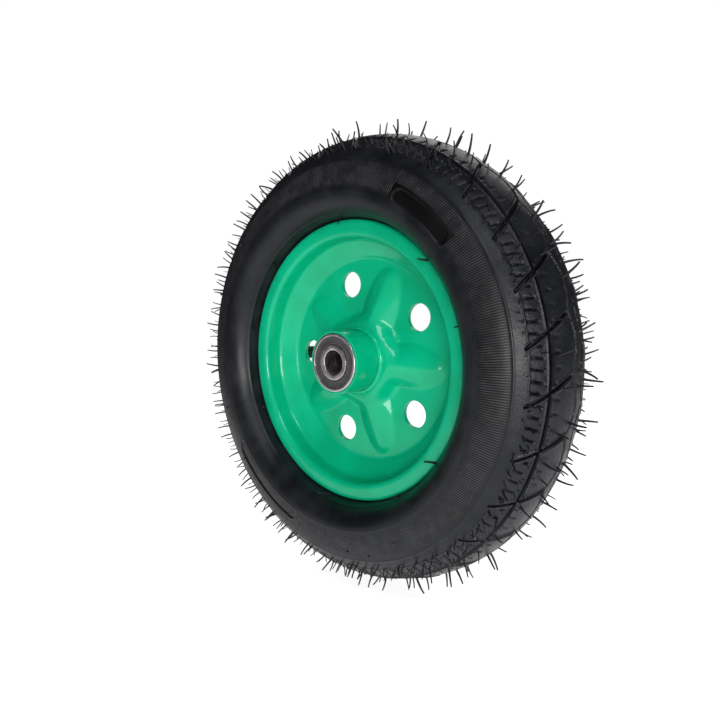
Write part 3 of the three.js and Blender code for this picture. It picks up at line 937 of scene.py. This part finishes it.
def rib_shape(nodes, inputs):
    """Fine ribs laid side by side along the sidewall's arch."""
    points = nodes.node("GeometryNodePoints", {}, {"Count": inputs["Count"]})
    index = nodes.node("GeometryNodeInputIndex", {}, {})
    turn = inputs["First turn"] + index * inputs["Step"]
    sockets = {
        "Resolution": 8,
        "Radius": inputs["Section radius"],
        "Start Angle": inputs["Start angle"],
        "Sweep Angle": inputs["End angle"] - inputs["Start angle"],
    }
    arch = nodes.node("GeometryNodeCurveArc", {"mode": "RADIUS"}, sockets)
    along = nodes.node("GeometryNodeSplineParameter", {}, {})
    fade = 1 - nodes.math("ABSOLUTE", along * 2 - 1) ** 6
    profile = nodes.node("GeometryNodeCurvePrimitiveCircle", {}, {"Resolution": 5, "Radius": 1.0})
    sockets = {"Curve": arch, "Profile Curve": profile, "Fill Caps": True}
    sockets["Scale"] = inputs["Half width"] * (0.25 + fade * 0.75)
    rib = nodes.node("GeometryNodeCurveToMesh", {}, sockets)
    sockets = {"Geometry": rib, "Rotation": (0, -math.pi / 2, 0)}
    sockets["Translation"] = nodes.vector(0.0, 0.0, inputs["Section centre"])
    rib = nodes.node("GeometryNodeTransform", {}, sockets)
    turned = nodes.node("FunctionNodeEulerToRotation", {}, {"Euler": nodes.vector(0.0, turn, 0.0)})
    sockets = {"Points": points, "Instance": rib, "Rotation": turned}
    return nodes.node("GeometryNodeInstanceOnPoints", {}, sockets)


RIBS = geometry_tree("sidewall_ribs", {
    "Count": int,
    "First turn": float,
    "Step": float,
    "Section radius": float,
    "Section centre": float,
    "Start angle": float,
    "End angle": float,
    "Half width": float,
    "Material": bpy.types.Material,
}, rib_shape)


def make_whiskers():
    """Rows of whiskers and of the stubs left where whiskers have broken off."""
    skin = (SECTION_RADIUS, SECTION_CENTRE)
    bead = (BEAD_WHISKER_REACH, SECTION_CENTRE)
    hair = HAIR_THICKNESS
    stub = STUB_THICKNESS
    # Name, skin or bead, section angle, spread, count, shortest and longest in mm, lean and thickness.
    rows = (
        ("shoulder_edge_whiskers", skin, 49, 2.5, 150, 6.5, 12.0, 0.26, hair),
        ("shoulder_whiskers", skin, 40, 3.0, 90, 4.0, 11.5, 0.34, hair),
        ("crown_side_whiskers", skin, 22, 5.0, 52, 7.0, 13.0, 0.32, hair),
        ("crown_whiskers", skin, 4, 4.0, 38, 8.0, 13.5, 0.30, hair),
        ("shoulder_stubs", skin, 36, 1.0, 196, 0.6, 1.6, 0.20, stub),
        ("crown_stubs", skin, 28.5, 1.0, 168, 0.6, 1.5, 0.20, stub),
        ("sidewall_stubs", skin, 74, 8.0, 26, 0.8, 2.2, 0.40, stub),
        ("bead_whiskers", bead, 121.7, 1.0, 9, 9.0, 14.0, 0.30, hair),
    )
    for side, side_name in SIDES:
        for i, row in enumerate(rows):
            name, (reach, centre), angle, spread, count, shortest, longest, lean, thickness = row
            values = {
                "Count": count,
                "Section radius": reach,
                "Section centre": centre,
                "Section angle": side * math.radians(angle),
                "Spread": math.radians(spread),
                "Lean": lean,
                "Shortest": shortest * MM,
                "Longest": longest * MM,
                "Thickness": thickness,
                "Seed": 40 * i + (7 if side == FRONT else 19),
            }
            grown(f"tyre_{side_name}_{name}", WHISKERS, values,
                  FINISHES["whisker_rubber"], "wheel")


def rib_runs():
    """Runs of ribs between and above the label panels: first turn, last turn and end angle."""
    runs = []
    short_end = PANEL_ANGLE - math.degrees(PANEL_HALF_HEIGHT / SECTION_RADIUS) - 2 * PANEL_GAP
    for i, (middle, half_turn) in enumerate(PANEL_TURNS):
        next_middle, next_half = PANEL_TURNS[(i + 1) % len(PANEL_TURNS)]
        next_start = next_middle - next_half + (360 if next_middle < middle else 0)
        start = middle - half_turn - PANEL_GAP
        end = middle + half_turn + PANEL_GAP
        runs.append((start, end, short_end))
        runs.append((end, next_start - PANEL_GAP, RIB_END_ANGLE))
    return runs


def make_ribs():
    step = 360 / RIB_COUNT
    for side, side_name in SIDES:
        for i, (first, last, end_angle) in enumerate(rib_runs()):
            values = {
                "Count": round((last - first) / step),
                "First turn": math.radians(first),
                "Step": math.radians(step),
                "Section radius": SECTION_RADIUS,
                "Section centre": SECTION_CENTRE,
                "Start angle": side * math.radians(RIB_START_ANGLE),
                "End angle": side * math.radians(end_angle),
                "Half width": RIB_HALF_WIDTH,
            }
            grown(f"tyre_{side_name}_sidewall_ribs_{i + 1}", RIBS, values,
                  FINISHES["rib_rubber"], "wheel")


# ====================================================================== rim


def star_height(radius, turn):
    """How far the star pressing stands above the flat disc, with the turn in radians."""
    pitch = 2 * math.pi / WINDOW_COUNT
    first_arm = math.radians(WINDOW_TURN) + pitch / 2
    across = np.hypot(radius * off_nearest((turn - first_arm) / pitch) * pitch, CREST_ROUNDING)
    widest = COLLAR_RADIUS + ARM_WIDEST_AT * (ARM_TIP_RADIUS - COLLAR_RADIUS)
    along = (radius - widest) / (ARM_TIP_RADIUS - widest)
    half_width = np.maximum(ARM_HALF_WIDTH * np.sqrt(np.clip(1 - along**2, 0, 1)), 0.01 * MM)
    to_tip = np.clip((ARM_TIP_RADIUS - radius) / (ARM_TIP_RADIUS - COLLAR_RADIUS), 0, 1)
    crest = smooth(to_tip, 0, ARM_TIP_SHARE) * (ARM_TIP_HEIGHT + (1 - ARM_TIP_HEIGHT) * to_tip)
    inside = np.clip(1 - across / half_width, 0, 1)
    arm = np.minimum(crest * inside * (1.5 - 0.5 * inside), 1)
    boss = 1 - smooth(radius, COLLAR_RADIUS, COLLAR_RADIUS + COLLAR_SLOPE)
    return ARM_HEIGHT * (1 - (1 - boss) * (1 - arm))


def rim_outline():
    """The pressed sheet's closed (radius, out) outline before the star is pressed in."""
    middle = finely(rounded([
        (HUB_HOLE_RADIUS, DISC_OUT, 0),
        (DISC_RADIUS, DISC_OUT + 0.2 * MM, 1.6 * MM),
        (STEP_RADIUS, STEP_OUT, 1.6 * MM),
        (DISH_RADIUS, DISH_OUT, 2 * MM),
        (SEAT_RADIUS, SEAT_OUT, 2 * MM),
        (SEAT_RADIUS, FLANGE_OUT, 4 * MM),
        (FLANGE_RADIUS, FLANGE_OUT, 4.5 * MM),
        (FLANGE_RADIUS, FLANGE_END_OUT, 0),
    ], closed=False), RIM_ROW_SPACING)
    way = np.gradient(middle, axis=0)
    way = way / np.linalg.norm(way, axis=1)[:, None]
    normal = np.stack([-way[:, 1], way[:, 0]], axis=-1)
    outer = middle + normal * SHEET / 2
    inner = middle - normal * SHEET / 2
    rolled_end = middle[-1:] + way[-1:] * SHEET * 0.3
    return np.concatenate([outer, rolled_end, inner[::-1]])


def cut_holes(mesh, name, holes):
    """The mesh with round holes cut through it, each a centre, an axis and a radius."""
    holder = bpy.data.objects.new(name + "_holder", mesh)
    cutter_mesh = bpy.data.meshes.new(name + "_cutter")
    cutter = bmesh.new()
    for centre, axis, radius in holes:
        stand = Matrix.Translation(centre) @ axis.to_track_quat("Z", "Y").to_matrix().to_4x4()
        bmesh.ops.create_cone(
            cutter, cap_ends=True, segments=HOLE_COLUMNS, radius1=radius, radius2=radius,
            depth=CUTTER_LENGTH, matrix=stand)
    cutter.to_mesh(cutter_mesh)
    cutter.free()
    cutter_object = bpy.data.objects.new(name + "_cutter", cutter_mesh)
    for made in (holder, cutter_object):
        bpy.context.scene.collection.objects.link(made)
    modifier = holder.modifiers.new("holes", "BOOLEAN")
    modifier.object = cutter_object
    modifier.solver = "EXACT"
    cut = evaluated_mesh(holder, name)
    for made in (holder, cutter_object):
        bpy.data.objects.remove(made)
    return cut


def window_holes():
    """The five windows, each a centre, an axis and a radius."""
    holes = []
    for i in range(WINDOW_COUNT):
        turn = math.radians(WINDOW_TURN + i * 360 / WINDOW_COUNT)
        centre = Vector((WINDOW_REACH * math.sin(turn), 0, WINDOW_REACH * math.cos(turn)))
        holes.append((centre, Vector((0, 1, 0)), WINDOW_RADIUS))
    return holes


def rim_half(name, side, node, holes):
    radius, out = rim_outline().T
    turn = np.linspace(0, 2 * math.pi, RIM_COLUMNS, endpoint=False)[None, :]
    out = out[:, None] + star_height(radius[:, None], turn)
    mesh = ring_mesh(name + "_whole", on_wheel(radius[:, None], side * out, turn))
    mesh = cut_holes(mesh, name, holes)
    piece(name, mesh, FINISHES["green_paint"], "wheel", [node], sharp=42)


def make_rim():
    rim_half("rim_front_pressing", FRONT, "rim_front_half", window_holes())
    valve_hole = (VALVE_ROOT, VALVE_AXIS, VALVE_HOLE_RADIUS)
    rim_half("rim_rear_pressing", REAR, "rim_rear_half", window_holes() + [valve_hole])


# ====================================================================== hub and bearings


def make_hub():
    outline = rounded([
        (HUB_RADIUS, -HUB_END, 0.5 * MM),
        (HUB_RADIUS, HUB_END, 0.5 * MM),
        (HUB_BORE_RADIUS, HUB_END, 0.4 * MM),
        (HUB_BORE_RADIUS, SHOULDER_OUT, 0.1 * MM),
        (HUB_LAND_RADIUS, SHOULDER_OUT, 0.2 * MM),
        (HUB_LAND_RADIUS, -SHOULDER_OUT, 0.2 * MM),
        (HUB_BORE_RADIUS, -SHOULDER_OUT, 0.1 * MM),
        (HUB_BORE_RADIUS, -HUB_END, 0.4 * MM),
    ], steps=3)
    turned_piece(
        "hub_barrel", outline, HUB_COLUMNS, FINISHES["green_paint"], "wheel", ["hub_tube"])
    for side, side_name in SIDES:
        hub_weld(f"{side_name}_hub_weld_bead", side, f"{side_name}_hub_weld")


def hub_weld(name, side, node):
    """A fillet of weld with the ripples that the torch leaves."""
    inside = HUB_RADIUS + WELD_GAP
    section = rounded([
        (inside, WELD_FOOT_OUT, 0),
        (inside + WELD_LEG, WELD_FOOT_OUT, 0.5 * MM),
        (inside + WELD_LEG * 0.85, WELD_FOOT_OUT + WELD_LEG * 0.5, 1.2 * MM),
        (inside + WELD_LEG * 0.4, WELD_FOOT_OUT + WELD_LEG * 0.85, 1.2 * MM),
        (inside, WELD_FOOT_OUT + WELD_LEG, 0.5 * MM),
    ])
    radius, out = section.T
    turn = np.linspace(0, 2 * math.pi, WELD_COLUMNS, endpoint=False)[None, :]
    rise = np.hypot(radius - inside, out - WELD_FOOT_OUT)[:, None] / WELD_LEG
    wave = WELD_RIPPLE * np.abs(np.sin(turn * WELD_RIPPLES / 2 + rise))
    wave = wave + WELD_SWELL * np.sin(turn * 5 + side)
    grow = 1 - rise * wave
    points = on_wheel(
        inside + (radius[:, None] - inside) * grow,
        side * (WELD_FOOT_OUT + (out[:, None] - WELD_FOOT_OUT) * grow),
        turn)
    mesh = ring_mesh(name, points)
    piece(name, mesh, FINISHES["green_paint"], "wheel", [node])


def ball_track(towards):
    """The ball track's (radius, along, fillet) points; towards is -1 inwards and 1 outwards."""
    points = []
    for degrees in np.linspace(-TRACK_HALF_ANGLE, TRACK_HALF_ANGLE, TRACK_STEPS):
        angle = math.radians(degrees)
        radius = BALL_PITCH_RADIUS + towards * TRACK_RADIUS * math.cos(angle)
        points.append((radius, TRACK_RADIUS * math.sin(angle), 0))
    return points


def make_bearings():
    for side, side_name in SIDES:
        bearing(side, side_name)


def bearing(side, side_name):
    middle = side * BEARING_MIDDLE
    prefix = f"{side_name}_bearing"
    step = SEAL_INNER_FACE - 0.2 * MM
    outer = [
        (BEARING_RADIUS, -BEARING_HALF_WIDTH, 0.8 * MM),
        (SEAL_GROOVE_RADIUS, -BEARING_HALF_WIDTH, 0.35 * MM),
        (SEAL_GROOVE_RADIUS, -step, 0.1 * MM),
        (OUTER_LAND_RADIUS, -step, 0.1 * MM),
    ]
    inner = [
        (BORE_RADIUS, -BEARING_HALF_WIDTH, 0.7 * MM),
        (INNER_LAND_RADIUS, -BEARING_HALF_WIDTH, 0.3 * MM),
    ]
    races = (
        ("outer_ring", "outer_race", outer, ball_track(1), "wheel"),
        ("inner_ring", "inner_race", inner, ball_track(-1), "axle_side"),
    )
    for name, node, corners, track, body in races:
        mirror = [(radius, -along, fillet) for radius, along, fillet in reversed(corners)]
        outline = rounded(corners + track + mirror, steps=3) + [0, middle]
        turned_piece(
            f"{prefix}_{name}", outline, RING_COLUMNS, FINISHES["bearing_steel"], body,
            [f"{prefix}_{node}"])
    for towards, node in ((side, "outer_seal"), (-side, "inner_seal")):
        outline = seal_outline() * [1, towards] + [0, middle]
        turned_piece(
            f"{prefix}_{node}_lip", outline, RING_COLUMNS, FINISHES["seal_rubber"], "wheel",
            [f"{prefix}_{node}"])


def seal_outline():
    """A moulded seal: a flat ring with a raised rim, a shallow channel and a thin lip."""
    face = SEAL_OUTER_FACE
    inside = INNER_LAND_RADIUS + 0.3 * MM
    outside = SEAL_GROOVE_RADIUS - 0.2 * MM
    return rounded([
        (inside, SEAL_INNER_FACE, 0.1 * MM),
        (outside, SEAL_INNER_FACE, 0.1 * MM),
        (outside, face, 0.3 * MM),
        (outside - 0.9 * MM, face, 0.2 * MM),
        (outside - 1.2 * MM, face - 0.35 * MM, 0.2 * MM),
        (inside + 1.7 * MM, face - 0.35 * MM, 0.2 * MM),
        (inside + 1.4 * MM, face, 0.2 * MM),
        (inside + 0.7 * MM, face, 0.2 * MM),
        (inside, face - 0.5 * MM, 0.1 * MM),
    ], steps=2)


def make_spacer():
    outline = rounded([
        (SPACER_BORE_RADIUS, -SHOULDER_OUT, 0.3 * MM),
        (SPACER_RADIUS, -SHOULDER_OUT, 0.3 * MM),
        (SPACER_RADIUS, SHOULDER_OUT, 0.3 * MM),
        (SPACER_BORE_RADIUS, SHOULDER_OUT, 0.3 * MM),
    ], steps=2)
    # The spacer's dark zinc finish paints the shade inside the axle bore.
    turned_piece(
        "axle_spacer_tube", outline, SPACER_COLUMNS, FINISHES["zinc_steel"], "axle_side",
        ["axle_spacer"])


# ====================================================================== valve


def on_valve(radius, along, turn):
    """Points about the valve's own axis, moved to where the stem stands on the rim."""
    across = on_wheel(radius, along, turn)
    stand = Vector((0, 1, 0)).rotation_difference(VALVE_AXIS).to_matrix()
    return across @ np.array(stand).T + np.array(VALVE_ROOT)


def valve_piece(name, corners, body, finish_name, replaced, ripple=None, spacing=None):
    """A part turned about the valve's axis. A ripple changes the radius from place to place."""
    outline = rounded(corners, steps=3)
    if spacing:
        outline = finely(np.concatenate([outline, outline[:1]]), spacing)[:-1]
    radius, along = outline.T
    turn = np.linspace(0, 2 * math.pi, VALVE_COLUMNS, endpoint=False)[None, :]
    radius = radius[:, None] + np.zeros(turn.shape)
    if ripple:
        radius = radius + ripple(radius, along[:, None], turn)
    mesh = ring_mesh(name, on_valve(radius, along[:, None], turn))
    merged = bmesh.new()
    merged.from_mesh(mesh)
    bmesh.ops.remove_doubles(merged, verts=merged.verts, dist=0.001 * MM)
    merged.to_mesh(mesh)
    merged.free()
    piece(name, mesh, FINISHES[finish_name], body, replaced)


def thread_ripple(radius, along, turn):
    wave = (along / THREAD_PITCH + turn / (2 * math.pi)) % 1
    on_outside = radius > THREAD_RADIUS - 0.1 * MM
    return on_outside * THREAD_DEPTH * (np.abs(2 * wave - 1) - 1)


def knurl_ripple(radius, along, turn):
    on_outside = smooth(radius, CAP_RADIUS - 0.4 * MM, CAP_RADIUS - 0.1 * MM)
    below_top = 1 - smooth(along, CAP_TOP - 2.4 * MM, CAP_TOP - 1.8 * MM)
    return -on_outside * below_top * KNURL_DEPTH * (0.5 + 0.5 * np.cos(turn * KNURL_COUNT))


def make_valve():
    valve_piece("valve_stem_rubber", [
        (STEM_BORE_RADIUS, STEM_BASE, 0),
        (STEM_FOOT_RADIUS, STEM_BASE, 0.3 * MM),
        (STEM_RADIUS + 0.3 * MM, STEM_BASE + 1.6 * MM, 0.3 * MM),
        (STEM_RADIUS, STEM_BASE + 2.4 * MM, 0.5 * MM),
        (STEM_RADIUS, THREAD_START - 3.4 * MM, 1 * MM),
        (THREAD_RADIUS + 0.6 * MM, THREAD_START - 0.7 * MM, 0.5 * MM),
        (STEM_BORE_RADIUS, THREAD_START - 0.7 * MM, 0),
    ], "wheel", "tube_rubber", ["valve_stem"])
    valve_piece("valve_thread_brass", [
        (STEM_BORE_RADIUS, THREAD_START - 0.6 * MM, 0),
        (THREAD_RADIUS, THREAD_START - 0.6 * MM, 0),
        (THREAD_RADIUS, STEM_TOP, 0.5 * MM),
        (STEM_BORE_RADIUS, STEM_TOP, 0.2 * MM),
    ], "wheel", "valve_brass", (), thread_ripple, spacing=0.12 * MM)
    valve_piece("valve_core_barrel", [
        (CORE_BORE_RADIUS, CORE_TOP - 16 * MM, 0),
        (CORE_RADIUS, CORE_TOP - 16 * MM, 0.2 * MM),
        (CORE_RADIUS, CORE_TOP, 0.3 * MM),
        (CORE_BORE_RADIUS, CORE_TOP, 0.2 * MM),
    ], "wheel", "valve_brass", ["valve_core"])
    valve_piece("valve_core_pin", [
        (0, CORE_TOP - 14 * MM, 0),
        (PIN_RADIUS, CORE_TOP - 14 * MM, 0.1 * MM),
        (PIN_RADIUS, CORE_TOP + 0.5 * MM, 0.4 * MM),
        (0, CORE_TOP + 0.5 * MM, 0),
    ], "valve_pin", "valve_brass", ["valve_pin"])
    valve_piece("valve_dust_cap", [
        (0, CAP_TOP, 0),
        (CAP_RADIUS, CAP_TOP, 1.2 * MM),
        (CAP_RADIUS, CAP_MOUTH, 0.3 * MM),
        (THREAD_RADIUS + 0.3 * MM, CAP_MOUTH, 0.1 * MM),
        (THREAD_RADIUS + 0.3 * MM, CAP_TOP - 1.2 * MM, 0.3 * MM),
        (0, CAP_TOP - 1.2 * MM, 0),
    ], "valve_cap", "cap_plastic", ["valve_cap"], knurl_ripple, spacing=0.5 * MM)


# ====================================================================== studio


def finish_hidden_parts():
    """Parts inside the wheel keep their own shape and take a finish."""
    kinds = (("inner_tube", "tube_rubber"), ("cage", "cage_steel"), ("ball", "bearing_steel"))
    for name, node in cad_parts.items():
        for part, finish_name in kinds:
            if part in name:
                node.material_slots[0].material = FINISHES[finish_name]


def make_floor(height):
    mesh = bpy.data.meshes.new("studio_floor")
    signs = ((-1, -1), (1, -1), (1, 1), (-1, 1))
    corners = [(FLOOR_REACH * x, FLOOR_REACH * y, height) for x, y in signs]
    mesh.from_pydata(corners, [], [(0, 1, 2, 3)])
    mesh.materials.append(FINISHES["studio_floor"])
    floor = bpy.data.objects.new("studio_floor", mesh)
    bpy.context.scene.collection.objects.link(floor)


def add_light(name, place, width, height, watts, colour=(1, 1, 1)):
    """A soft lamp that faces the wheel's centre."""
    lamp = bpy.data.lights.new(name, "AREA")
    lamp.shape = "RECTANGLE"
    lamp.size = width
    lamp.size_y = height
    lamp.energy = watts
    lamp.color = colour
    made = bpy.data.objects.new(name, lamp)
    made.location = place
    made.rotation_euler = (-Vector(place)).to_track_quat("-Z", "Y").to_euler()
    made.visible_camera = False
    bpy.context.scene.collection.objects.link(made)


def make_lights():
    world = bpy.data.worlds.new("studio_air")
    world.use_nodes = True
    world.node_tree.nodes.clear()
    nodes = Nodes(world.node_tree)
    way = nodes.node("ShaderNodeSeparateXYZ", {}, {"Vector": nodes.node(
        "ShaderNodeTexCoord", {}, {}, out="Generated")})
    room = nodes.between(way.other("Y") - way.other("X"), -1.3, 0.25, ROOM_FRONT, ROOM_BACK)
    room = room * nodes.between(way.other("Z"), 0.0, 0.6, 1.0, ROOM_ABOVE)
    seen = nodes.node("ShaderNodeLightPath", {}, {}, out="Is Camera Ray")
    strength = room + seen * (AIR_SHOWN - room)
    air = nodes.node("ShaderNodeBackground", {}, {"Color": (1.0, 1.0, 1.0, 1), "Strength": strength})
    nodes.node("ShaderNodeOutputWorld", {}, {"Surface": air})
    bpy.context.scene.world = world
    add_light("front_window", (1.2, -1.2, 0.05), 0.9, 0.45, 17)
    add_light("upper_strip", (0.75, -0.75, 1.0), 0.9, 0.2, 5, (0.88, 0.9, 1.0))
    add_light("rear_window", (-0.3, 1.2, 1.3), 1.2, 1.2, 8)


def make_camera():
    """A near, low three-quarter view that leans a little to one side."""
    camera = bpy.data.cameras.new("view")
    camera.lens = CAMERA_LENS
    camera.sensor_width = CAMERA_SENSOR
    camera.clip_start = 0.01
    made = bpy.data.objects.new("view", camera)
    made.location = CAMERA_PLACE
    facing = (CAMERA_AIM - CAMERA_PLACE).to_track_quat("-Z", "Y")
    made.rotation_mode = "QUATERNION"
    made.rotation_quaternion = facing @ Quaternion((0, 0, 1), math.radians(CAMERA_LEAN))
    bpy.context.scene.collection.objects.link(made)
    bpy.context.scene.camera = made


make_camera()
make_tread()
make_sidewalls()
make_ribs()
make_whiskers()
make_rim()
make_hub()
make_bearings()
make_spacer()
make_valve()
finish_hidden_parts()
model_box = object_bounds()
make_floor(model_box[0].z)
make_lights()
bpy.context.scene.view_settings.view_transform = "Standard"
